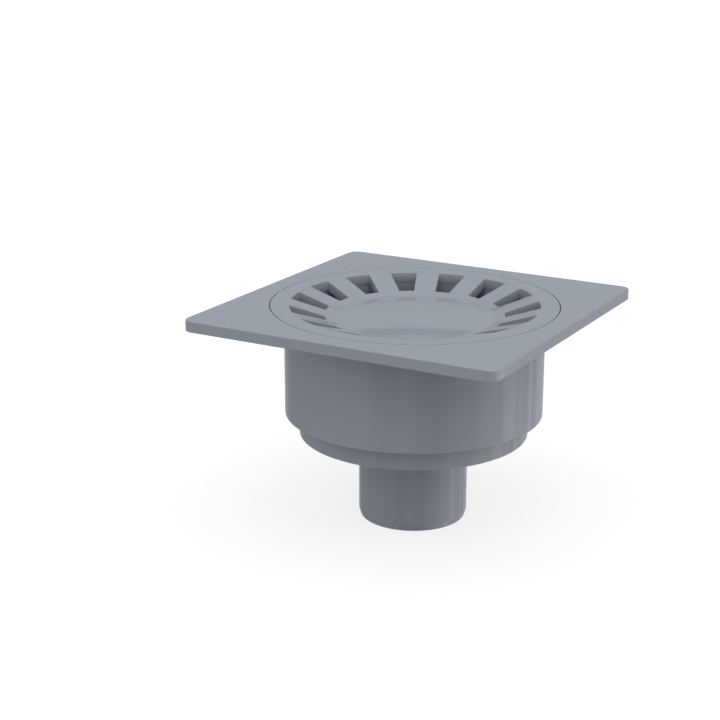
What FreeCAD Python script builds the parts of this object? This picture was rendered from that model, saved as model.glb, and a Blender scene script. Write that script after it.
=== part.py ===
import FreeCAD, Part
import Sketcher
import os

# Bell-trap floor gully in rigid grey plastic, with a square top plate, a dished slotted
# grate and a straight vertical outlet. Lengths are in millimetres, angles in degrees.
# The frame stands on the end of the outlet spigot: the origin is the centre of that end,
# +Z points up to the floor surface, and X and Y run along the sides of the top plate.

SIZES = [
    ("plate_side", 150.0, "side of the square top plate"),
    ("plate_thickness", 5.0, "top plate, top face to bedding face"),
    ("plate_corner_radius", 5.0, "upright corners of the top plate"),
    ("plate_edge_rounding", 0.3, "rounding along the plate's top and bottom edges"),
    ("rim_clearance", 0.4, "radial gap round the grate's rim and its underside"),
    ("collar_wall", 2.0, "wall of the seat collar under the plate"),
    ("ledge_thickness", 2.4, "ledge that the grate's rim rests on"),
    ("chamber_radius", 58.9, "outside of the upper chamber"),
    ("chamber_wall", 2.2, "wall of the upper chamber"),
    ("chamber_height", 50.4, "plate top down to the chamber's shoulder"),
    ("sump_radius", 52.4, "outside of the sump below the shoulder"),
    ("sump_wall", 2.2, "wall of the sump"),
    ("sump_height", 10.0, "shoulder down to the sump's underside"),
    ("floor_thickness", 2.5, "shoulder and sump floor"),
    ("spigot_radius", 25.0, "outside of the outlet spigot, for 50 mm waste pipe"),
    ("spigot_wall", 3.0, "wall of the spigot and of the standpipe"),
    ("spigot_length", 40.3, "sump underside down to the spigot's end"),
    ("lead_in_height", 3.0, "taper at the spigot's end, along the axis"),
    ("lead_in_depth", 0.8, "taper at the spigot's end, across the axis"),
    ("standpipe_height", 32.0, "overflow edge above the sump floor"),
    ("standpipe_rounding", 1.1, "rounding of the overflow edge"),
    ("inner_fillet", 1.5, "inside corners of the chamber and the sump"),
    ("grate_radius", 65.0, "outside of the grate's rim"),
    ("rim_thickness", 5.0, "grate's rim, and the depth of its recess"),
    ("dish_radius", 56.5, "inner edge of the flat rim, where the dish begins"),
    ("crown_radius", 36.5, "closed middle of the dish"),
    ("dish_depth", 6.3, "rim's top face down to the edge of the closed middle"),
    ("crown_rise", 1.7, "closed middle, centre above edge"),
    ("middle_thickness", 3.2, "closed middle, at its edge"),
    ("hub_radius", 34.6, "inside of the stiffening ring under the closed middle"),
    ("slot_count", 15, "slots round the dish"),
    ("slot_inner_radius", 40.8, "inner end of a slot"),
    ("slot_inner_width", 6.9, "width of a slot at its inner end"),
    ("slot_outer_width", 12.75, "width of a slot at its outer end"),
    ("grate_turn", 3.05, "turn of the grate in its recess"),
    ("socket_radius", 27.0, "outside of the ring that carries the bell"),
    ("socket_wall", 2.0, "wall of that ring"),
    ("socket_height", 4.0, "depth of that ring"),
    ("snap_rise", 0.4, "bead on the ring, and the groove that takes it"),
    ("snap_width", 1.6, "bead, along the axis"),
    ("snap_drop", 1.4, "underside of the middle down to the bead"),
    ("snap_clearance", 0.15, "gap between the ring and the bell's neck"),
    ("neck_wall", 2.0, "wall of the bell's neck"),
    ("neck_height", 4.4, "bell's neck above its crown"),
    ("bell_shoulder", 6.85, "bell's neck out to the outside of its skirt"),
    ("bell_wall", 2.2, "crown and skirt of the bell"),
    ("bell_rounding", 4.0, "outer corner between crown and skirt"),
    ("bell_height", 42.0, "neck's top down to the skirt's lower edge"),
]

# Heights that several features share, as sums of the sizes above.
SHOULDER = "spigot_length + sump_height"
PLATE_TOP = SHOULDER + " + chamber_height"
PLATE_UNDERSIDE = PLATE_TOP + " - plate_thickness"
LEDGE = PLATE_TOP + " - rim_thickness"
SUMP_FLOOR = "spigot_length + floor_thickness"
CHAMBER_FLOOR = SHOULDER + " + floor_thickness"
CHAMBER_INSIDE = "chamber_radius - chamber_wall"
SUMP_INSIDE = "sump_radius - sump_wall"
RECESS_RADIUS = "grate_radius + rim_clearance"
BORE_RADIUS = "spigot_radius - spigot_wall"
OVERFLOW_EDGE = SUMP_FLOOR + " + standpipe_height"

# The grate's own heights start at the underside of its rim, the bell's at its neck's top.
MIDDLE_EDGE = "rim_thickness - dish_depth"
MIDDLE_UNDERSIDE = MIDDLE_EDGE + " - middle_thickness"
NECK_INSIDE = "socket_radius + snap_clearance"
NECK_OUTSIDE = NECK_INSIDE + " + neck_wall"
BELL_RADIUS = NECK_OUTSIDE + " + bell_shoulder"
BELL_INSIDE = BELL_RADIUS + " - bell_wall"

# No rounding takes more than this share of the wall that it is cut from.
WALL_SHARE = 0.4
NEAR = 1e-4

doc = FreeCAD.newDocument("FloorGully")
sheet = doc.addObject("Spreadsheet::Sheet", "Sizes")
for row, (name, number, meaning) in enumerate(SIZES, start=1):
    sheet.set("A%d" % row, meaning)
    sheet.set("B%d" % row, str(number))
    sheet.setAlias("B%d" % row, name)
doc.recompute()


def size(formula):
    """Present value of a sum of named sizes, each of which may be halved as in side/2."""
    total = 0.0
    sign = 1.0
    for word in formula.split():
        if word in ("+", "-"):
            sign = 1.0 if word == "+" else -1.0
            continue
        name, _, divisor = word.partition("/")
        number = float(sheet.get(name)) if name[0].isalpha() else float(name)
        total += sign * number / float(divisor or 1)
        sign = 1.0
    return total


def bound(formula):
    """The same sum as an expression on the cells of the sheet."""
    words = ["Sizes." + word if word[0].isalpha() else word for word in formula.split()]
    return " ".join(words)


def new_body(name, label):
    body = doc.addObject("PartDesign::Body", name)
    body.Label = label
    return body


def origin_feature(body, role):
    for feature in body.Origin.OriginFeatures:
        if feature.Role == role:
            return feature
    raise RuntimeError("no origin feature " + role)


def new_sketch(body, name, role, height=None):
    """Sketch on one of the body's own origin planes, raised by a sum of named sizes."""
    sketch = body.newObject("Sketcher::SketchObject", name)
    sketch.AttachmentSupport = [(origin_feature(body, role), "")]
    sketch.MapMode = "FlatFace"
    if height:
        sketch.setExpression("AttachmentOffset.Base.z", bound(height))
    return sketch


def hold_point(sketch, edge, end, across, up):
    """Fix one end of an edge by its distances from the sketch's two axes."""
    for kind, axis, formula in (("DistanceX", -2, across), ("DistanceY", -1, up)):
        if formula == "0":
            sketch.addConstraint(Sketcher.Constraint("PointOnObject", edge, end, axis))
            continue
        held = Sketcher.Constraint(kind, -1, 1, edge, end, size(formula))
        number = sketch.addConstraint(held)
        label = "%s_%d_%d" % (kind, edge, end)
        sketch.renameConstraint(number, label)
        sketch.setExpression("Constraints." + label, bound(formula))


def closed_outline(sketch, corners):
    """Closed run of straight edges through corners given as (across, up) sums."""
    points = [FreeCAD.Vector(size(across), size(up), 0) for across, up in corners]
    last = len(corners) - 1
    for index, point in enumerate(points):
        following = points[0] if index == last else points[index + 1]
        sketch.addGeometry(Part.LineSegment(point, following), False)
    for index in range(len(corners)):
        following = 0 if index == last else index + 1
        sketch.addConstraint(Sketcher.Constraint("Coincident", index, 2, following, 1))
    for index, (across, up) in enumerate(corners):
        hold_point(sketch, index, 1, across, up)


def revolve(body, name, corners, kind="PartDesign::Revolution"):
    """Section of straight edges in the XZ plane, turned once round the Z axis."""
    sketch = new_sketch(body, name + "Section", "XZ_Plane")
    closed_outline(sketch, corners)
    feature = body.newObject(kind, name)
    feature.Profile = sketch
    feature.ReferenceAxis = (sketch, ["V_Axis"])
    feature.Angle = 360
    doc.recompute()
    return feature


def circles_at(feature, radius, height):
    """Names of the feature's round edges about the Z axis with this radius and height."""
    names = []
    for number, edge in enumerate(feature.Shape.Edges, start=1):
        if not isinstance(edge.Curve, Part.Circle):
            continue
        centre = edge.Curve.Center
        if abs(edge.Curve.Radius - radius) > NEAR or abs(centre.z - height) > NEAR:
            continue
        if abs(centre.x) < NEAR and abs(centre.y) < NEAR:
            names.append("Edge%d" % number)
    return names


def fillet(body, name, base, edges, radius):
    """Rounded edges, with the radius given as an expression on the sheet."""
    feature = body.newObject("PartDesign::Fillet", name)
    feature.Base = (base, edges)
    feature.setExpression("Radius", radius)
    doc.recompute()
    return feature


def within_wall(rounding, wall):
    """Expression for a rounding that its wall may limit."""
    return "min(Sizes.%s; Sizes.%s * %s)" % (rounding, wall, WALL_SHARE)


# Gully body: one moulding. A square plate sits round a seat collar, the chamber steps in
# to the sump, and one straight tube makes both the outlet spigot and the standpipe.
gully = new_body("GullyBody", "gully_body")

plate_outline = new_sketch(gully, "PlateOutline", "XY_Plane", PLATE_UNDERSIDE)
closed_outline(plate_outline, [
    ("- plate_side/2", "- plate_side/2"),
    ("plate_side/2", "- plate_side/2"),
    ("plate_side/2", "plate_side/2"),
    ("- plate_side/2", "plate_side/2"),
])
plate = gully.newObject("PartDesign::Pad", "Plate")
plate.Profile = plate_outline
plate.setExpression("Length", "Sizes.plate_thickness")
doc.recompute()

upright = []
for number, edge in enumerate(plate.Shape.Edges, start=1):
    if edge.BoundBox.ZLength > NEAR:
        upright.append("Edge%d" % number)
corners = fillet(gully, "PlateCorners", plate, upright, "Sizes.plate_corner_radius")

level = []
for number, edge in enumerate(corners.Shape.Edges, start=1):
    if edge.BoundBox.ZLength < NEAR:
        level.append("Edge%d" % number)
fillet(gully, "PlateEdges", corners, level,
       within_wall("plate_edge_rounding", "plate_thickness"))

opening_outline = new_sketch(gully, "GrateOpeningOutline", "XY_Plane", PLATE_TOP)
opening_outline.addGeometry(Part.Circle(
    FreeCAD.Vector(0, 0, 0), FreeCAD.Vector(0, 0, 1), size(RECESS_RADIUS)), False)
opening_outline.addConstraint(Sketcher.Constraint("Coincident", 0, 3, -1, 1))
opening_outline.addConstraint(Sketcher.Constraint("Radius", 0, size(RECESS_RADIUS)))
opening_outline.renameConstraint(1, "opening_radius")
opening_outline.setExpression("Constraints.opening_radius", bound(RECESS_RADIUS))
grate_opening = gully.newObject("PartDesign::Pocket", "GrateOpening")
grate_opening.Profile = opening_outline
grate_opening.setExpression("Length", "Sizes.plate_thickness")
doc.recompute()

cup = revolve(gully, "Cup", [
    (RECESS_RADIUS + " + collar_wall", LEDGE + " - ledge_thickness"),
    (RECESS_RADIUS + " + collar_wall", PLATE_UNDERSIDE + " + plate_thickness/2"),
    (RECESS_RADIUS, PLATE_UNDERSIDE + " + plate_thickness/2"),
    (RECESS_RADIUS, LEDGE),
    (CHAMBER_INSIDE, LEDGE),
    (CHAMBER_INSIDE, CHAMBER_FLOOR),
    (SUMP_INSIDE, CHAMBER_FLOOR),
    (SUMP_INSIDE, SUMP_FLOOR),
    ("spigot_radius", SUMP_FLOOR),
    ("spigot_radius", OVERFLOW_EDGE),
    (BORE_RADIUS, OVERFLOW_EDGE),
    (BORE_RADIUS, "0"),
    ("spigot_radius - lead_in_depth", "0"),
    ("spigot_radius", "lead_in_height"),
    ("spigot_radius", "spigot_length"),
    ("sump_radius", "spigot_length"),
    ("sump_radius", SHOULDER),
    ("chamber_radius", SHOULDER),
    ("chamber_radius", LEDGE + " - ledge_thickness"),
])

overflow = circles_at(cup, size("spigot_radius"), size(OVERFLOW_EDGE))
overflow += circles_at(cup, size(BORE_RADIUS), size(OVERFLOW_EDGE))
lip = fillet(gully, "OverflowLip", cup, overflow,
             within_wall("standpipe_rounding", "spigot_wall"))

inside = circles_at(lip, size(CHAMBER_INSIDE), size(CHAMBER_FLOOR))
inside += circles_at(lip, size(SUMP_INSIDE), size(SUMP_FLOOR))
inside += circles_at(lip, size("spigot_radius"), size(SUMP_FLOOR))
fillet(gully, "InnerFillets", lip, inside, "Sizes.inner_fillet")

# Grate: one moulding, flush with the plate. A flat rim carries a shallow slotted cone,
# whose closed middle rises again as a low crown so that water runs off to the slots.
grate = new_body("Grate", "grate")
grate.setExpression("Placement.Base.z", bound(LEDGE))
grate.setExpression("Placement.Rotation.Angle", "Sizes.grate_turn")

UNDER_RIM = CHAMBER_INSIDE + " - rim_clearance"
SNAP_TOP = MIDDLE_UNDERSIDE + " - snap_drop"
dish = revolve(grate, "Dish", [
    ("0", MIDDLE_EDGE),
    ("crown_radius", MIDDLE_EDGE),
    ("dish_radius", "rim_thickness"),
    ("grate_radius", "rim_thickness"),
    ("grate_radius", "0"),
    (UNDER_RIM, "0"),
    ("crown_radius", "- dish_depth"),
    ("hub_radius", "- dish_depth"),
    ("hub_radius", MIDDLE_UNDERSIDE),
    ("socket_radius", MIDDLE_UNDERSIDE),
    ("socket_radius", SNAP_TOP),
    ("socket_radius + snap_rise", SNAP_TOP + " - snap_width/3"),
    ("socket_radius + snap_rise", SNAP_TOP + " - snap_width/3 - snap_width/3"),
    ("socket_radius", SNAP_TOP + " - snap_width"),
    ("socket_radius", MIDDLE_UNDERSIDE + " - socket_height"),
    ("socket_radius - socket_wall", MIDDLE_UNDERSIDE + " - socket_height"),
    ("socket_radius - socket_wall", MIDDLE_UNDERSIDE),
    ("0", MIDDLE_UNDERSIDE),
])

crown_section = new_sketch(grate, "CrownSection", "XZ_Plane")
rise = size("crown_rise")
reach = size("crown_radius")
edge_level = size(MIDDLE_EDGE)
ball_radius = (reach ** 2 + rise ** 2) / (2 * rise)
ball_centre = FreeCAD.Vector(0, edge_level + rise - ball_radius, 0)
crown_edge = FreeCAD.Vector(reach, edge_level, 0)
crown_foot = FreeCAD.Vector(0, edge_level, 0)
start_angle = (crown_edge - ball_centre).getAngle(FreeCAD.Vector(1, 0, 0))
quarter_turn = FreeCAD.Vector(0, 1, 0).getAngle(FreeCAD.Vector(1, 0, 0))
ball = Part.Circle(ball_centre, FreeCAD.Vector(0, 0, 1), ball_radius)
crown_section.addGeometry(Part.ArcOfCircle(ball, start_angle, quarter_turn), False)
crown_section.addGeometry(
    Part.LineSegment(FreeCAD.Vector(0, edge_level + rise, 0), crown_foot), False)
crown_section.addGeometry(Part.LineSegment(crown_foot, crown_edge), False)
crown_section.addConstraint(Sketcher.Constraint("Coincident", 0, 2, 1, 1))
crown_section.addConstraint(Sketcher.Constraint("Coincident", 1, 2, 2, 1))
crown_section.addConstraint(Sketcher.Constraint("Coincident", 2, 2, 0, 1))
crown_section.addConstraint(Sketcher.Constraint("PointOnObject", 0, 3, -2))
hold_point(crown_section, 1, 1, "0", MIDDLE_EDGE + " + crown_rise")
hold_point(crown_section, 2, 1, "0", MIDDLE_EDGE)
hold_point(crown_section, 0, 1, "crown_radius", MIDDLE_EDGE)
crown = grate.newObject("PartDesign::Revolution", "Crown")
crown.Profile = crown_section
crown.ReferenceAxis = (crown_section, ["V_Axis"])
crown.Angle = 360
doc.recompute()


def slot_outline(sketch):
    """Slot between two arcs about the Z axis, with straight sides that open outwards."""
    ends = []
    for radius, width in (("slot_inner_radius", "slot_inner_width"),
                          ("dish_radius", "slot_outer_width")):
        half = size(width) / 2
        along = (size(radius) ** 2 - half ** 2) ** 0.5
        low = FreeCAD.Vector(along, -half, 0)
        high = FreeCAD.Vector(along, half, 0)
        middle = FreeCAD.Vector(size(radius), 0, 0)
        ends.append((low, middle, high))
    inner, outer = ends
    sketch.addGeometry(Part.Arc(*outer), False)
    sketch.addGeometry(Part.LineSegment(outer[2], inner[2]), False)
    sketch.addGeometry(Part.Arc(*inner), False)
    sketch.addGeometry(Part.LineSegment(inner[0], outer[0]), False)
    sketch.addConstraint(Sketcher.Constraint("Coincident", 0, 2, 1, 1))
    sketch.addConstraint(Sketcher.Constraint("Coincident", 1, 2, 2, 2))
    sketch.addConstraint(Sketcher.Constraint("Coincident", 2, 1, 3, 1))
    sketch.addConstraint(Sketcher.Constraint("Coincident", 3, 2, 0, 1))
    for arc, radius, width in ((0, "dish_radius", "slot_outer_width"),
                               (2, "slot_inner_radius", "slot_inner_width")):
        sketch.addConstraint(Sketcher.Constraint("Coincident", arc, 3, -1, 1))
        sketch.addConstraint(Sketcher.Constraint("Symmetric", arc, 1, arc, 2, -1))
        number = sketch.addConstraint(Sketcher.Constraint("Radius", arc, size(radius)))
        sketch.renameConstraint(number, "radius_%d" % arc)
        sketch.setExpression("Constraints.radius_%d" % arc, bound(radius))
        held = Sketcher.Constraint("DistanceY", arc, 1, arc, 2, size(width))
        number = sketch.addConstraint(held)
        sketch.renameConstraint(number, "width_%d" % arc)
        sketch.setExpression("Constraints.width_%d" % arc, bound(width))


slot_sketch = new_sketch(grate, "SlotOutline", "XY_Plane", "rim_thickness")
slot_outline(slot_sketch)
slot = grate.newObject("PartDesign::Pocket", "Slot")
slot.Profile = slot_sketch
slot.Type = "ThroughAll"
doc.recompute()
slots = grate.newObject("PartDesign::PolarPattern", "Slots")
slots.Originals = [slot]
slots.Axis = (origin_feature(grate, "Z_Axis"), [""])
slots.Angle = 360
slots.setExpression("Occurrences", "Sizes.slot_count")
grate.Tip = slots
doc.recompute()

# Bell: an upturned cup over the standpipe. Its neck snaps over the ring under the grate,
# so both lift out together, and its skirt dips below the overflow edge to seal the water.
bell = new_body("Bell", "bell")
bell.setExpression("Placement.Base.z", bound(LEDGE + " + " + MIDDLE_UNDERSIDE))

GROOVE_TOP = "- snap_drop + snap_clearance"
cup_wall = revolve(bell, "BellWall", [
    ("0", "- neck_height"),
    (NECK_INSIDE, "- neck_height"),
    (NECK_INSIDE, "- snap_drop - snap_width - snap_clearance"),
    (NECK_INSIDE + " + snap_rise", "- snap_drop - snap_width/3 - snap_width/3 - snap_clearance"),
    (NECK_INSIDE + " + snap_rise", GROOVE_TOP + " - snap_width/3"),
    (NECK_INSIDE, GROOVE_TOP),
    (NECK_INSIDE, "0"),
    (NECK_OUTSIDE, "0"),
    (NECK_OUTSIDE, "- neck_height"),
    (BELL_RADIUS, "- neck_height"),
    (BELL_RADIUS, "- bell_height"),
    (BELL_INSIDE, "- bell_height"),
    (BELL_INSIDE, "- neck_height - bell_wall"),
    ("0", "- neck_height - bell_wall"),
])
outer_corner = circles_at(cup_wall, size(BELL_RADIUS), size("- neck_height"))
shoulder = fillet(bell, "BellShoulder", cup_wall, outer_corner, "Sizes.bell_rounding")
inner_corner = circles_at(shoulder, size(BELL_INSIDE), size("- neck_height - bell_wall"))
fillet(bell, "BellInside", shoulder, inner_corner,
       "max(Sizes.bell_rounding - Sizes.bell_wall; Sizes.bell_wall / 2)")

doc.recompute()
for thing in doc.Objects:
    if "Invalid" in thing.State or "Error" in thing.State:
        raise RuntimeError("failed: " + thing.Name)

os.makedirs("parts", exist_ok=True)
for body in (gully, grate, bell):
    if body.Shape.isNull() or not body.Shape.isValid():
        raise RuntimeError("bad shape: " + body.Label)
    body.Shape.exportStep(os.path.join("parts", body.Label + ".step"))
    print(body.Label, len(body.Shape.Solids), "solid", round(body.Shape.Volume / 1000, 2), "cm3")
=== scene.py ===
import math

import bpy
import numpy as np
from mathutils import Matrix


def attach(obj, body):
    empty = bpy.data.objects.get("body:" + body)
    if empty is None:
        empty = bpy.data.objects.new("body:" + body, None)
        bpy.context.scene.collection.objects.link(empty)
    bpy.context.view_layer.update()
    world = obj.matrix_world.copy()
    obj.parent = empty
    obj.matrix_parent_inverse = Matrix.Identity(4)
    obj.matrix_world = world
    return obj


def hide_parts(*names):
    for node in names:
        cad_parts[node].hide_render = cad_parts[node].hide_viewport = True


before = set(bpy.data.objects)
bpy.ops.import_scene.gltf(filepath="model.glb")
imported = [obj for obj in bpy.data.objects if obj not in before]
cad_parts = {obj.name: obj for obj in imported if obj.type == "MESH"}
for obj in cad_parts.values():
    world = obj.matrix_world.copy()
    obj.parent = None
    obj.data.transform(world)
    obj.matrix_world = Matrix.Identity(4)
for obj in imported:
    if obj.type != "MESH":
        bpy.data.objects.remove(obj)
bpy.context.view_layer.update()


# Gully body: one injection moulding in rigid grey plastic. A square plate surrounds the recess
# for the grate, the chamber steps in to the sump, and a tube through the sump's floor makes
# both the standpipe inside and the outlet spigot below. Sizes are in millimetres.
MM = 0.001
PLATE_HALF = 75.0
PLATE_CORNER = 5.0
PLATE_TOP = 100.7
PLATE_UNDERSIDE = 95.7
RECESS_RADIUS = 65.4
LEDGE = 95.7

# One corner of the section a line: across, up, rounding, and 1 where it follows the plate's
# square outline or 0 where it goes round the axis.
BODY_SECTION = np.array([
    (RECESS_RADIUS, PLATE_TOP, 0.10, 0),
    (PLATE_HALF, PLATE_TOP, 0.35, 1),
    (PLATE_HALF, PLATE_UNDERSIDE, 0.35, 1),
    (67.4, PLATE_UNDERSIDE, 0.30, 0),
    (67.4, 93.3, 0.40, 0),
    (58.9, 93.3, 0.60, 0),
    (58.9, 50.3, 0.45, 0),
    (52.4, 50.3, 0.50, 0),
    (52.4, 40.3, 0.45, 0),
    (25.0, 40.3, 0.60, 0),
    (25.0, 3.0, 2.00, 0),
    (24.2, 0.0, 0.50, 0),
    (22.0, 0.0, 0.40, 0),
    (22.0, 74.8, 1.10, 0),
    (25.0, 74.8, 1.10, 0),
    (25.0, 42.8, 1.50, 0),
    (50.2, 42.8, 1.50, 0),
    (50.2, 52.8, 0.40, 0),
    (56.7, 52.8, 1.50, 0),
    (56.7, LEDGE, 0.30, 0),
    (RECESS_RADIUS, LEDGE, 0.20, 0),
])


def rounded_corners(corners, rounding, closed=True, steps=6, margin=0.3):
    """Section with its corners rounded: each corner gives way to an arc that touches both runs,
    at rounding / tan(half the corner's angle) from it, plus a point just beyond each end of the
    arc so that the flat runs stay flat. An open section keeps its two ends as they are."""
    before = np.roll(corners, 1, axis=0) - corners
    after = np.roll(corners, -1, axis=0) - corners
    before /= np.linalg.norm(before, axis=1)[:, None]
    after /= np.linalg.norm(after, axis=1)[:, None]
    angle = np.arccos(np.clip((before * after).sum(1), -1, 1))
    reach = (rounding / np.tan(angle / 2))[:, None]
    middle = before + after
    middle /= np.linalg.norm(middle, axis=1)[:, None]
    centre = corners + middle * (rounding / np.sin(angle / 2))[:, None]
    start = corners + before * reach - centre
    end = corners + after * reach - centre
    sweep = (np.pi - angle)[:, None, None]
    share = np.linspace(0, 1, steps)[None, :, None]
    arc = np.sin((1 - share) * sweep) * start[:, None] + np.sin(share * sweep) * end[:, None]
    arc = centre[:, None] + arc / np.sin(sweep)
    lead = (corners + before * (reach + margin))[:, None]
    tail = (corners + after * (reach + margin))[:, None]
    points = np.concatenate([lead, arc, tail], axis=1)
    if closed:
        return points.reshape(-1, 2)
    inner = points[1:-1].reshape(-1, 2)
    return np.concatenate([corners[:1], inner, corners[-1:]])


def square_outline(half, corner, flat_steps=48, corner_steps=14):
    """Square with round corners, once round from the middle of its +X side. On a flat side the
    points stand at equal angles from the centre, and on a corner at equal angles of its arc.
    Gives the points, and the outward direction square to the outline at each."""
    flat = half - corner
    turn = np.arctan2(flat, half)
    across = np.linspace(-turn, turn, flat_steps, endpoint=False)
    side = np.stack([np.full_like(across, half), half * np.tan(across)], axis=1)
    side_out = np.tile([1.0, 0.0], (flat_steps, 1))
    bend = np.linspace(0, np.pi / 2, corner_steps, endpoint=False)
    bend_out = np.stack([np.cos(bend), np.sin(bend)], axis=1)
    points = np.concatenate([side, flat + corner * bend_out])
    outward = np.concatenate([side_out, bend_out])
    quarter = np.arange(4) * np.pi / 2
    spin = np.array([[np.cos(quarter), -np.sin(quarter)], [np.sin(quarter), np.cos(quarter)]])
    points = np.einsum("ijq,nj->qni", spin, points).reshape(-1, 2)
    outward = np.einsum("ijq,nj->qni", spin, outward).reshape(-1, 2)
    return points, outward


def smooth_mesh(name, points, quads, triangles=None):
    """Mesh object from points in millimetres and arrays of corner numbers, shaded smooth."""
    corners = quads.reshape(-1)
    starts = np.arange(len(quads)) * 4
    if triangles is not None:
        starts = np.concatenate([starts, len(corners) + np.arange(len(triangles)) * 3])
        corners = np.concatenate([corners, triangles.reshape(-1)])
    mesh = bpy.data.meshes.new(name)
    mesh.vertices.add(len(points))
    mesh.vertices.foreach_set("co", (points * MM).astype(np.float32).ravel())
    mesh.loops.add(len(corners))
    mesh.loops.foreach_set("vertex_index", corners.astype(np.int32))
    mesh.polygons.add(len(starts))
    mesh.polygons.foreach_set("loop_start", starts.astype(np.int32))
    mesh.update(calc_edges=True)
    mesh.polygons.foreach_set("use_smooth", np.ones(len(starts), dtype=bool))
    piece = bpy.data.objects.new(name, mesh)
    bpy.context.scene.collection.objects.link(piece)
    return piece


def ring_quads(around, along):
    """Quads over a grid that closes on itself both ways, facing out of the section."""
    number = np.arange(around * along).reshape(around, along)
    onward = np.roll(number, -1, axis=0)
    quads = np.stack([number, np.roll(number, -1, axis=1), np.roll(onward, -1, axis=1), onward],
                     axis=-1)
    return quads.reshape(-1, 4)


section = rounded_corners(BODY_SECTION[:, :2], BODY_SECTION[:, 2])
on_square = np.repeat(BODY_SECTION[:, 3], len(section) // len(BODY_SECTION))[None, :, None]
outline, outward = square_outline(PLATE_HALF, PLATE_CORNER)
direction = outline / np.linalg.norm(outline, axis=1)[:, None]
inset = (PLATE_HALF - section[:, 0])[None, :, None]
plan = on_square * (outline[:, None] - inset * outward[:, None])
plan = plan + (1 - on_square) * section[:, 0][None, :, None] * direction[:, None]
height = np.broadcast_to(section[:, 1][None, :, None], plan.shape[:2] + (1,))
body_points = np.concatenate([plan, height], axis=-1).reshape(-1, 3)
gully_body = smooth_mesh("gully_body_moulding", body_points, ring_quads(*plan.shape[:2]))


def moulded_skin():
    """Node group for the skin of a moulding: the colour clouds a little where the melt cooled
    unevenly, the gloss changes along lines in the direction of draw, and the surface has the
    faint ripple and fine grain that the mould's polish leaves."""
    group = bpy.data.node_groups.new("moulded_skin", "ShaderNodeTree")
    for name, kind, start in (("Position", "NodeSocketVector", None),
                              ("Colour", "NodeSocketColor", (0.2, 0.2, 0.2, 1)),
                              ("Cloud", "NodeSocketFloat", 0.05),
                              ("Rough Low", "NodeSocketFloat", 0.2),
                              ("Rough High", "NodeSocketFloat", 0.3),
                              ("Ripple", "NodeSocketFloat", 0.00002)):
        socket = group.interface.new_socket(name=name, in_out="INPUT", socket_type=kind)
        if start is not None:
            socket.default_value = start
    for name, kind in (("Colour", "NodeSocketColor"), ("Roughness", "NodeSocketFloat"),
                       ("Normal", "NodeSocketVector")):
        group.interface.new_socket(name=name, in_out="OUTPUT", socket_type=kind)
    nodes, links = group.nodes, group.links
    given = nodes.new("NodeGroupInput")
    result = nodes.new("NodeGroupOutput")

    def noise(scale, detail, stretch=(1, 1, 1)):
        mapping = nodes.new("ShaderNodeMapping")
        mapping.inputs["Scale"].default_value = stretch
        links.new(given.outputs["Position"], mapping.inputs["Vector"])
        texture = nodes.new("ShaderNodeTexNoise")
        texture.inputs["Scale"].default_value = scale
        texture.inputs["Detail"].default_value = detail
        links.new(mapping.outputs["Vector"], texture.inputs["Vector"])
        return texture.outputs["Fac"]

    def math_node(operation, first, second, third=None):
        node = nodes.new("ShaderNodeMath")
        node.operation = operation
        for socket, value in zip(node.inputs, (first, second, third)):
            if isinstance(value, (int, float)):
                socket.default_value = value
            elif value is not None:
                links.new(value, socket)
        return node.outputs["Value"]

    clouds = noise(24, 3)
    specks = noise(1500, 1)
    draw_lines = noise(160, 2, (1, 1, 0.04))
    ripple = noise(55, 1)
    grain = noise(2600, 1)

    # A noise lies round 0.5, so taking off the sum's middle value keeps the colour's mean.
    speck_share = 0.35
    shade = math_node("MULTIPLY_ADD", specks, speck_share, clouds)
    shade = math_node("SUBTRACT", shade, 0.5 * (1 + speck_share))
    shade = math_node("MULTIPLY_ADD", shade, given.outputs["Cloud"], 1.0)
    colour = nodes.new("ShaderNodeHueSaturation")
    links.new(given.outputs["Colour"], colour.inputs["Color"])
    links.new(shade, colour.inputs["Value"])
    links.new(colour.outputs["Color"], result.inputs["Colour"])

    gloss = math_node("MULTIPLY_ADD", draw_lines, 0.5, math_node("MULTIPLY", clouds, 0.5))
    noise_low, noise_high = 0.35, 0.65
    spread = nodes.new("ShaderNodeMapRange")
    spread.inputs["From Min"].default_value = noise_low
    spread.inputs["From Max"].default_value = noise_high
    links.new(gloss, spread.inputs["Value"])
    links.new(given.outputs["Rough Low"], spread.inputs["To Min"])
    links.new(given.outputs["Rough High"], spread.inputs["To Max"])
    links.new(spread.outputs["Result"], result.inputs["Roughness"])

    surface = math_node("MULTIPLY_ADD", grain, 0.03, ripple)
    bump = nodes.new("ShaderNodeBump")
    bump.inputs["Strength"].default_value = 1.0
    links.new(given.outputs["Ripple"], bump.inputs["Distance"])
    links.new(surface, bump.inputs["Height"])
    links.new(bump.outputs["Normal"], result.inputs["Normal"])
    return group


def moulded_plastic(name, skin, colour, cloud, rough_low, rough_high, ripple):
    """Rigid opaque plastic with the moulded skin, in the piece's own values."""
    material = bpy.data.materials.new(name)
    material.use_nodes = True
    nodes, links = material.node_tree.nodes, material.node_tree.links
    shader = nodes["Principled BSDF"]
    shader.inputs["IOR"].default_value = 1.5
    position = nodes.new("ShaderNodeTexCoord")
    effect = nodes.new("ShaderNodeGroup")
    effect.node_tree = skin
    effect.inputs["Colour"].default_value = (*colour, 1)
    effect.inputs["Cloud"].default_value = cloud
    effect.inputs["Rough Low"].default_value = rough_low
    effect.inputs["Rough High"].default_value = rough_high
    effect.inputs["Ripple"].default_value = ripple
    links.new(position.outputs["Object"], effect.inputs["Position"])
    links.new(effect.outputs["Colour"], shader.inputs["Base Color"])
    links.new(effect.outputs["Roughness"], shader.inputs["Roughness"])
    links.new(effect.outputs["Normal"], shader.inputs["Normal"])
    return material


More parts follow.
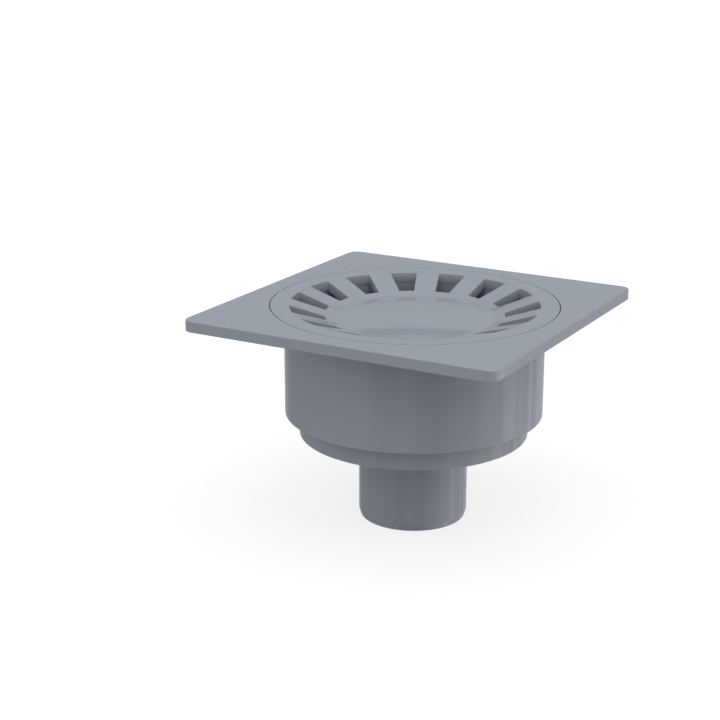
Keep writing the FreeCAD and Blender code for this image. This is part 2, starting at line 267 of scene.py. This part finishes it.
PLASTIC_GREY = (0.320, 0.345, 0.383)
skin = moulded_skin()
gully_body.data.materials.append(
    moulded_plastic("body_grey_plastic", skin, PLASTIC_GREY, cloud=0.03, rough_low=0.04,
                    rough_high=0.07, ripple=0.00001))
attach(gully_body, "root")
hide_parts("gully_body")


# Grate: a second moulding of the same plastic that lies loose in the body's recess. Its flat
# rim carries a shallow cone with fifteen slots, and the closed middle rises as a low crown.
GRATE_TURN = math.radians(3.05)
SLOTS = 15
RIM_RADIUS = 65.0
RIM_TOP = 100.7
RIM_UNDERSIDE = 95.7
DISH_RADIUS = 56.5
CROWN_RADIUS = 36.5
CROWN_EDGE = 94.4
CROWN_RISE = 1.7
CONE_UNDERSIDE = 89.4
UNDER_RIM_RADIUS = 56.3
UNDER_SLOPE = (RIM_UNDERSIDE - CONE_UNDERSIDE) / (UNDER_RIM_RADIUS - CROWN_RADIUS)
SLOT_INNER_RADIUS = 40.8
SLOT_INNER_WIDTH = 6.9
SLOT_OUTER_WIDTH = 12.75
SLOT_EDGE = 0.2
SLOT_CELLS = 10
BAR_CELLS = 8
SOFT_CREASE = 0.12
LAST_FLAT = 64.0
RING_FOOT = 38.5

# A sharp corner gets a hair of rounding, so that its arc can still be worked out.
HAIR = 1e-6

# Under the closed middle: the stiffening ring, then the ring with the bead that carries the bell.
UNDER_MIDDLE = np.array([
    (RING_FOOT, CONE_UNDERSIDE + (RING_FOOT - CROWN_RADIUS) * UNDER_SLOPE, 0.3),
    (CROWN_RADIUS, CONE_UNDERSIDE, 0.3),
    (34.6, CONE_UNDERSIDE, 0.4),
    (34.6, 91.2, 0.6),
    (27.0, 91.2, 0.4),
    (27.0, 89.8, 0.1),
    (27.4, 89.27, 0.1),
    (27.4, 88.73, 0.1),
    (27.0, 88.2, 0.1),
    (27.0, 87.2, 0.25),
    (25.0, 87.2, 0.25),
    (25.0, 91.2, 0.6),
    (0.5, 91.2, 0.0),
])


def soft_higher(first, second, softness):
    """The higher of two heights, with the crease between them rounded: half the sum plus half
    the root of the squared difference and the squared softness."""
    return (first + second + np.sqrt((first - second) ** 2 + softness ** 2)) / 2


def grate_top(radius):
    """Top face: a low ball over the closed middle, a straight cone up to the rim, then flat."""
    ball = (CROWN_RADIUS ** 2 + CROWN_RISE ** 2) / (2 * CROWN_RISE)
    crown = CROWN_EDGE + CROWN_RISE - ball + np.sqrt(ball ** 2 - radius ** 2)
    slope = (RIM_TOP - CROWN_EDGE) / (DISH_RADIUS - CROWN_RADIUS)
    cone = CROWN_EDGE + (radius - CROWN_RADIUS) * slope
    dish = soft_higher(crown, cone, SOFT_CREASE)
    return -soft_higher(-dish, np.full_like(dish, -RIM_TOP), SOFT_CREASE)


def cone_underside(radius):
    """Underside: a straight cone from the stiffening ring up to the rim's flat underside."""
    return np.minimum(CONE_UNDERSIDE + (radius - CROWN_RADIUS) * UNDER_SLOPE, RIM_UNDERSIDE)


def strips(first, second):
    """Quads between neighbouring corner numbers of two equal rows."""
    return np.stack([first[:, :-1], first[:, 1:], second[:, 1:], second[:, :-1]], axis=-1)


def end_fans(number):
    """Triangles that close both ends of a grid round the axis on two poles, which are numbered
    straight after the grid's own points."""
    onward = np.roll(number, -1, axis=0)
    pole = np.full(len(number), number.size)
    return np.concatenate([np.stack([pole, number[:, 0], onward[:, 0]], axis=-1),
                           np.stack([pole + 1, onward[:, -1], number[:, -1]], axis=-1)])


def slot_half_angle(radius):
    """Half a slot's angle at a distance from the axis: its side is a straight line between the
    inner and outer widths, and within the ends the angle stays as it is at the nearer end."""
    half = np.array([SLOT_INNER_WIDTH, SLOT_OUTER_WIDTH]) / 2
    along = np.sqrt(np.array([SLOT_INNER_RADIUS, DISH_RADIUS]) ** 2 - half ** 2)
    step = np.array([along[1] - along[0], half[1] - half[0]])
    squared = step @ step
    linear = along[0] * step[0] + half[0] * step[1]
    rest = SLOT_INNER_RADIUS ** 2 - radius ** 2
    share = (np.sqrt(np.maximum(linear ** 2 - squared * rest, 0)) - linear) / squared
    share = np.clip(share, 0, 1)
    return np.arctan2(half[0] + share * step[1], along[0] + share * step[0])


# Rings of the grate's mesh from the middle of the top out to the rim and back below, closest
# together at the crown's edge and at the slots' ends.
slotted = np.array([SLOT_INNER_RADIUS, 41.6, 42.8, 44.6, 46.5, 48.5, 50.5, 52.5, 54.3, 55.6,
                    DISH_RADIUS])
at_crown_edge = CROWN_RADIUS + np.array([-0.8, -0.4, -0.15, 0, 0.15, 0.4, 0.9])
top_radii = np.concatenate([
    [0.5, 1.5, 3.0], np.linspace(5, 35, 16), at_crown_edge, [38.6, 40.0], slotted,
    [57.3, 58.5, 60.5, 62.5, LAST_FLAT]])
top = np.stack([top_radii, grate_top(top_radii)], axis=1)
rim_edge = rounded_corners(
    np.array([(LAST_FLAT, RIM_TOP), (RIM_RADIUS, RIM_TOP), (RIM_RADIUS, RIM_UNDERSIDE),
              (LAST_FLAT, RIM_UNDERSIDE)]), np.array([0, 0.10, 0.3, 0]) + HAIR, closed=False)[1:-1]
under_rim = [LAST_FLAT, 61.0, 58.5, 57.3]
under_radii = np.concatenate([under_rim, slotted[::-1], [40.0]])
under = np.stack([under_radii, cone_underside(under_radii)], axis=1)
middle = rounded_corners(UNDER_MIDDLE[:, :2], UNDER_MIDDLE[:, 2] + HAIR, closed=False,
                         steps=4, margin=0.05)
rows = np.concatenate([top, rim_edge, under, middle])

first_top = int(np.argmax(top_radii >= SLOT_INNER_RADIUS - HAIR))
last_top = first_top + len(slotted) - 1
last_under = len(top) + len(rim_edge) + len(under_rim)
first_under = last_under + len(slotted) - 1

half_angle = slot_half_angle(rows[:, 0])[None, :]
pitch = 2 * np.pi / SLOTS
in_slot = np.linspace(-1, 1, SLOT_CELLS, endpoint=False)[:, None] * half_angle
in_bar = half_angle + np.linspace(0, 1, BAR_CELLS, endpoint=False)[:, None] * (
    pitch - 2 * half_angle)
one_pitch = np.concatenate([in_slot, in_bar])
turns = (np.arange(SLOTS) * pitch)[:, None, None] + one_pitch[None] + GRATE_TURN
turns = turns.reshape(-1, len(rows))
columns = len(turns)
grid = np.stack([rows[:, 0] * np.cos(turns), rows[:, 0] * np.sin(turns),
                 np.broadcast_to(rows[:, 1], turns.shape)], axis=-1)
number = np.arange(columns * len(rows)).reshape(columns, len(rows))
column_in_pitch = np.arange(columns) % (SLOT_CELLS + BAR_CELLS)
row_numbers = np.arange(len(rows) - 1)
slot_rows = (((row_numbers >= first_top) & (row_numbers < last_top))
             | ((row_numbers >= last_under) & (row_numbers < first_under)))
kept = ~((column_in_pitch < SLOT_CELLS)[:, None] & slot_rows[None])
cells = strips(number, np.roll(number, -1, axis=0))[kept]

# The slots' walls run straight down from the top face's outline to the underside's.
down = np.arange(len(slotted))
top_row, under_row = first_top + down, first_under - down
low_side = number[column_in_pitch == 0]
high_side = number[column_in_pitch == SLOT_CELLS]
ends = number[column_in_pitch <= SLOT_CELLS].reshape(SLOTS, SLOT_CELLS + 1, len(rows))
walls = [strips(low_side[:, top_row], low_side[:, under_row]),
         strips(high_side[:, top_row][:, ::-1], high_side[:, under_row][:, ::-1]),
         strips(ends[:, ::-1, first_top], ends[:, ::-1, first_under]),
         strips(ends[:, :, last_top], ends[:, :, last_under])]
poles = np.array([[0, 0, grate_top(np.zeros(1))[0]], [0, 0, rows[-1, 1]]])
fans = end_fans(number)
points = np.concatenate([grid.reshape(-1, 3), poles])
quads = np.concatenate([cells] + [side.reshape(-1, 4) for side in walls])
used, renumbered = np.unique(np.concatenate([quads.ravel(), fans.ravel()]), return_inverse=True)
quads = renumbered[:quads.size].reshape(-1, 4)
fans = renumbered[quads.size:].reshape(-1, 3)
grate = smooth_mesh("grate_moulding", points[used], quads, fans)

# The slots' edges are rounded. A point on a slot's outline is marked 1 on the top face and 2 on
# the underside, and the edges that join two points of the same mark get the bevel.
outline_vertex = np.zeros(len(points), dtype=int)
slot_outline = np.isin(column_in_pitch, (0, SLOT_CELLS))[:, None] & np.ones(len(rows), bool)
slot_end = (column_in_pitch <= SLOT_CELLS)[:, None]
row_all = np.arange(len(rows))[None]
on_top = (row_all >= first_top) & (row_all <= last_top)
on_under = (row_all >= last_under) & (row_all <= first_under)
end_top = (row_all == first_top) | (row_all == last_top)
end_under = (row_all == first_under) | (row_all == last_under)
marks = (slot_outline & on_top) | (slot_end & end_top)
marks = marks * 1 + ((slot_outline & on_under) | (slot_end & end_under)) * 2
outline_vertex[:marks.size] = marks.reshape(-1)
outline_vertex = outline_vertex[used]
edges = np.empty(len(grate.data.edges) * 2, dtype=np.int32)
grate.data.edges.foreach_get("vertices", edges)
edge_marks = outline_vertex[edges.reshape(-1, 2)]
rounded = (edge_marks[:, 0] == edge_marks[:, 1]) & (edge_marks[:, 0] > 0)
weights = grate.data.attributes.new("bevel_weight_edge", "FLOAT", "EDGE")
weights.data.foreach_set("value", rounded.astype(np.float32))
edge_rounding = grate.modifiers.new("slot_edges", "BEVEL")
edge_rounding.limit_method = "WEIGHT"
edge_rounding.width = SLOT_EDGE * MM
edge_rounding.segments = 3

grate.data.materials.append(
    moulded_plastic("grate_grey_plastic", skin, PLASTIC_GREY, cloud=0.03, rough_low=0.03,
                    rough_high=0.06, ripple=0.00001))
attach(grate, "root")
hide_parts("grate")


# Bell: a third moulding, an upturned cup over the standpipe. Its neck snaps over the bead under
# the grate, and its skirt dips into the sump's water to make the seal.
BELL_SECTION = np.array([
    (0.5, 86.8, 0.0),
    (27.15, 86.8, 0.4),
    (27.15, 88.05, 0.1),
    (27.55, 88.58, 0.1),
    (27.55, 89.42, 0.1),
    (27.15, 89.95, 0.1),
    (27.15, 91.2, 0.2),
    (29.15, 91.2, 0.3),
    (29.15, 86.8, 0.8),
    (36.0, 86.8, 4.0),
    (36.0, 49.2, 0.4),
    (33.8, 49.2, 0.4),
    (33.8, 84.6, 1.8),
    (0.5, 84.6, 0.0),
])
BELL_STEPS = 180

bell_section = rounded_corners(BELL_SECTION[:, :2], BELL_SECTION[:, 2] + HAIR, closed=False,
                               margin=0.05)
turn = np.arange(BELL_STEPS) * 2 * np.pi / BELL_STEPS
bell_grid = np.stack([np.cos(turn)[:, None] * bell_section[:, 0],
                      np.sin(turn)[:, None] * bell_section[:, 0],
                      np.broadcast_to(bell_section[:, 1], (BELL_STEPS, len(bell_section)))],
                     axis=-1)
number = np.arange(BELL_STEPS * len(bell_section)).reshape(BELL_STEPS, -1)
cells = strips(number, np.roll(number, -1, axis=0))
poles = np.array([[0, 0, bell_section[0, 1]], [0, 0, bell_section[-1, 1]]])
bell = smooth_mesh("bell_moulding", np.concatenate([bell_grid.reshape(-1, 3), poles]),
                   cells.reshape(-1, 4), end_fans(number))
bell.data.materials.append(
    moulded_plastic("bell_grey_plastic", skin, PLASTIC_GREY, cloud=0.03, rough_low=0.06,
                    rough_high=0.09, ripple=0.00001))
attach(bell, "root")
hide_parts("bell")


# Floor: a light table that the part stands on, a pale sheet with a glow of its own, so that the
# part's underside gets even light. Wherever it is looked at it is white under the soft shadow,
# and it is left out of the plastic's gloss, which shows the low panels as in the photograph.
FLOOR_SIDE = 40.0
FLOOR_GREY = (0.25, 0.25, 0.25, 1)
FLOOR_GLOW = 0.16
FLOOR_WHITE = 0.79

across, along = np.meshgrid([-FLOOR_SIDE / 2, FLOOR_SIDE / 2], [-FLOOR_SIDE / 2, FLOOR_SIDE / 2])
floor_points = np.stack([across.ravel(), along.ravel(), np.zeros(4)], axis=1) / MM
floor = smooth_mesh("floor", floor_points, np.array([[0, 1, 3, 2]]))
floor.visible_glossy = False
pale = bpy.data.materials.new("pale_floor")
pale.use_nodes = True
nodes, links = pale.node_tree.nodes, pale.node_tree.links
nodes.clear()
rays = nodes.new("ShaderNodeLightPath")
looked_at = rays.outputs["Is Camera Ray"]
for ray in ("Is Glossy Ray", "Is Transmission Ray"):
    either = nodes.new("ShaderNodeMath")
    either.operation = "MAXIMUM"
    links.new(looked_at, either.inputs[0])
    links.new(rays.outputs[ray], either.inputs[1])
    looked_at = either.outputs["Value"]
strength = nodes.new("ShaderNodeMapRange")
strength.inputs["To Min"].default_value = FLOOR_GLOW
strength.inputs["To Max"].default_value = FLOOR_WHITE
links.new(looked_at, strength.inputs["Value"])
glow = nodes.new("ShaderNodeEmission")
links.new(strength.outputs["Result"], glow.inputs["Strength"])
sheet = nodes.new("ShaderNodeBsdfDiffuse")
sheet.inputs["Color"].default_value = FLOOR_GREY
table = nodes.new("ShaderNodeAddShader")
links.new(sheet.outputs["BSDF"], table.inputs[0])
links.new(glow.outputs["Emission"], table.inputs[1])
links.new(table.outputs["Shader"], nodes.new("ShaderNodeOutputMaterial").inputs["Surface"])
floor.data.materials.append(pale)


# Light: a white studio all round the part. Soft light comes from every side, and most of it
# hangs overhead on the camera's side; a ring of upright panels stands low.
CAMERA_SIDE = math.radians(-60.4)
KEY_SIDE = CAMERA_SIDE + math.radians(10)
STUDIO_TOP = 4.0
STUDIO_WHITE = (0.97, 1.0, 1.03, 1)

# Soft light: elevation in degrees, level all round, and how much stronger it is on the key side.
# The darker band at 23 to 25 degrees is the join of wall and ceiling that the crown reflects.
SOFT_LIGHT = [(-2, 0.50, 0.20), (5, 0.50, 0.20), (12, 0.61, 0.25), (22, 0.61, 0.25),
              (23, 0.24, 0.24), (25, 0.24, 0.24), (26, 0.56, 0.25), (38, 0.60, 0.38),
              (50, 0.65, 0.50), (60, 1.75, 1.70), (75, 1.97, 1.87)]

# Low panels: degrees round the part from the camera's side towards its right, and level. They
# come in below the first elevation, and from the second down they stand alone.
PANELS_BEGIN, PANELS_ALONE = -2, -8
LOW_PANELS = [
    (-180, 0.55), (-143, 0.38), (-115, 0.55), (-82, 0.60), (-74, 0.50), (-50, 0.35), (-44, 0.40),
    (-38, 0.15), (-18, 0.05), (-14, 0.20), (-2, 0.20), (2, 0.0), (22, 0.10), (30, 0.35),
    (42, 0.60), (54, 0.70), (59, 1.05), (72, 1.30), (80, 1.20), (84, 1.70), (96, 1.80),
    (100, 1.30), (108, 1.30), (113, 0.90), (118, 1.00), (121, 1.25), (124, 1.25), (127, 0.75),
    (131, 0.72), (138, 0.86), (155, 0.58), (180, 0.55)]

world = bpy.data.worlds.new("studio")
bpy.context.scene.world = world
world.use_nodes = True
nodes, links = world.node_tree.nodes, world.node_tree.links
nodes.clear()


def studio_math(operation, first, second, third=0.0):
    """One step of arithmetic on the studio's directions and light."""
    node = nodes.new("ShaderNodeMath")
    node.operation = operation
    for socket, value in zip(node.inputs, (first, second, third)):
        if isinstance(value, (int, float)):
            socket.default_value = value
        else:
            links.new(value, socket)
    return node.outputs["Value"]


def studio_levels(place, stops):
    """Levels along a line from 0 to 1: each stop is a place and one or two levels."""
    ramp = nodes.new("ShaderNodeValToRGB")
    links.new(place, ramp.inputs["Fac"])
    elements = ramp.color_ramp.elements
    while len(elements) < len(stops):
        elements.new(0.5)
    for element, (where, *levels) in zip(elements, stops):
        levels = [level / STUDIO_TOP for level in levels] + [0.0] * (3 - len(levels))
        element.position = where
        element.color = (*levels, 1)
    parts = nodes.new("ShaderNodeSeparateColor")
    links.new(ramp.outputs["Color"], parts.inputs["Color"])
    return parts.outputs


direction = nodes.new("ShaderNodeTexCoord").outputs["Generated"]
axes = nodes.new("ShaderNodeSeparateXYZ")
links.new(direction, axes.inputs["Vector"])
toward_key = nodes.new("ShaderNodeVectorMath")
toward_key.operation = "DOT_PRODUCT"
toward_key.inputs[1].default_value = (math.cos(KEY_SIDE), math.sin(KEY_SIDE), 0)
links.new(direction, toward_key.inputs[0])
rise = studio_math("MULTIPLY_ADD", axes.outputs["Z"], 0.5, 0.5)
soft = studio_levels(rise, [(math.sin(math.radians(elevation)) / 2 + 0.5, even, lean)
                            for elevation, even, lean in SOFT_LIGHT])
soft_level = studio_math("MULTIPLY_ADD", soft["Green"], toward_key.outputs["Value"], soft["Red"])
turn = studio_math("ARCTAN2", axes.outputs["Y"], axes.outputs["X"])
turn = studio_math("SUBTRACT", turn, CAMERA_SIDE + math.pi)
turn = studio_math("FRACT", studio_math("DIVIDE", turn, 2 * math.pi), 0.0)
panels = studio_levels(turn, [((angle + 180) / 360, level) for angle, level in LOW_PANELS])
low = nodes.new("ShaderNodeMapRange")
low.inputs["From Min"].default_value = math.sin(math.radians(PANELS_BEGIN))
low.inputs["From Max"].default_value = math.sin(math.radians(PANELS_ALONE))
links.new(axes.outputs["Z"], low.inputs["Value"])
level = nodes.new("ShaderNodeMix")
links.new(low.outputs["Result"], level.inputs["Factor"])
links.new(soft_level, level.inputs["A"])
links.new(panels["Red"], level.inputs["B"])
studio = nodes.new("ShaderNodeBackground")
studio.inputs["Color"].default_value = STUDIO_WHITE
links.new(studio_math("MULTIPLY", level.outputs["Result"], STUDIO_TOP), studio.inputs["Strength"])
links.new(studio.outputs["Background"], nodes.new("ShaderNodeOutputWorld").inputs["Surface"])


# Camera: the photograph's view, from a little above the plate and towards its front right
# corner, with a long lens; the render shows its colours as they are.
camera_data = bpy.data.cameras.new("photo_view")
camera_data.lens = 79.8
camera = bpy.data.objects.new("photo_view", camera_data)
camera.location = (0.3214, -0.6148, 0.2893)
camera.rotation_euler = (math.radians(72.74), 0, math.radians(29.63))
bpy.context.scene.collection.objects.link(camera)
bpy.context.scene.camera = camera
bpy.context.scene.view_settings.view_transform = "Standard"
